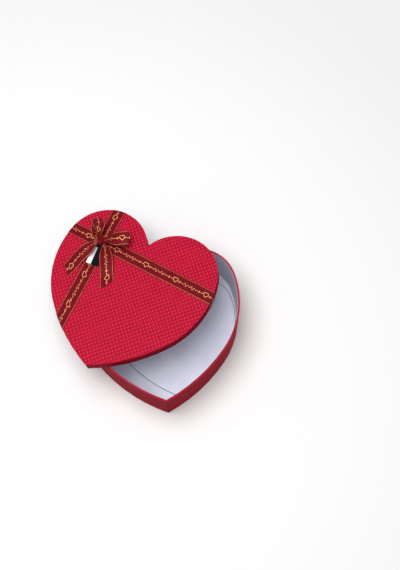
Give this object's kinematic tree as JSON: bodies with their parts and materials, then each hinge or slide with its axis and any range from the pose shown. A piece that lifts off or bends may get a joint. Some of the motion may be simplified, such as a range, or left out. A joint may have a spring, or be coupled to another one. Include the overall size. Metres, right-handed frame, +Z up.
{
  "type": "heart-shaped gift box",
  "caption": "Red heart-shaped gift box of wrapped board with its lid resting askew on the rim, tied with a dark ribbon and bow that carries a small hang tag.",
  "frame": {"origin": "on the underside of the base, on the heart's axis of symmetry, where the heart is widest", "axes": "+Z up out of the base; +Y towards the heart's notch, -Y towards its tip; +X to the right seen from the tip's side. The lid is stored off, turned and tilted on the rim as pictured"},
  "size_m": [0.3346, 0.3672, 0.131],
  "materials": {
    "grey_board": "uncoated grey board",
    "lining_paper": "smooth matt pale lining paper",
    "wrap_paper": "plain dark red cover paper, satin",
    "embossed_paper": "bright red paper embossed with a basket-weave of short dashes, soft sheen",
    "joint_tape": "brown gummed paper tape",
    "white_card": "smooth white card",
    "ribbon_satin": "dark red satin ribbon with thin gold lines and a small gold motif",
    "glue": "set hot-melt glue",
    "tag_card": "black coated card with a silver foil half, no lettering"
  },
  "bodies": {
    "base": {"base_bottom_paper": "lining_paper", "base_floor_board": "grey_board", "base_wall_board_left": "grey_board", "base_wall_board_right": "grey_board", "base_wall_wrap": "wrap_paper", "base_wall_liner": "lining_paper", "base_floor_liner": "lining_paper", "base_tip_tape": "joint_tape", "base_notch_tape": "joint_tape", "floor_card": "white_card"},
    "lid": {"lid_plate_board": "grey_board", "lid_skirt_board_left": "grey_board", "lid_skirt_board_right": "grey_board", "lid_skirt_wrap": "wrap_paper", "lid_top_sheet": "embossed_paper", "lid_liner": "lining_paper", "lid_tip_tape": "joint_tape", "lid_notch_tape": "joint_tape", "ribbon_cross_band": "ribbon_satin", "ribbon_long_band": "ribbon_satin", "bow_glue_stem": "glue", "bow_knot": "ribbon_satin", "bow_back_loop": "ribbon_satin", "bow_right_loop": "ribbon_satin", "bow_left_tail": "ribbon_satin", "bow_right_tail": "ribbon_satin"},
    "tag": {"tag_card": "tag_card"}
  },
  "joints": [
    {"name": "lid_lift", "type": "slide", "parent": "base", "child": "lid", "axis": [0, 0, 1], "range_m": [0, 0.12]},
    {"name": "tag_swing", "type": "hinge", "parent": "lid", "child": "tag", "pos_m": [-0.09395, 0.11792, 0.10431], "axis": [-0.0891, 0.0799, 0.9928], "range_deg": [-25, 25]}
  ]
}
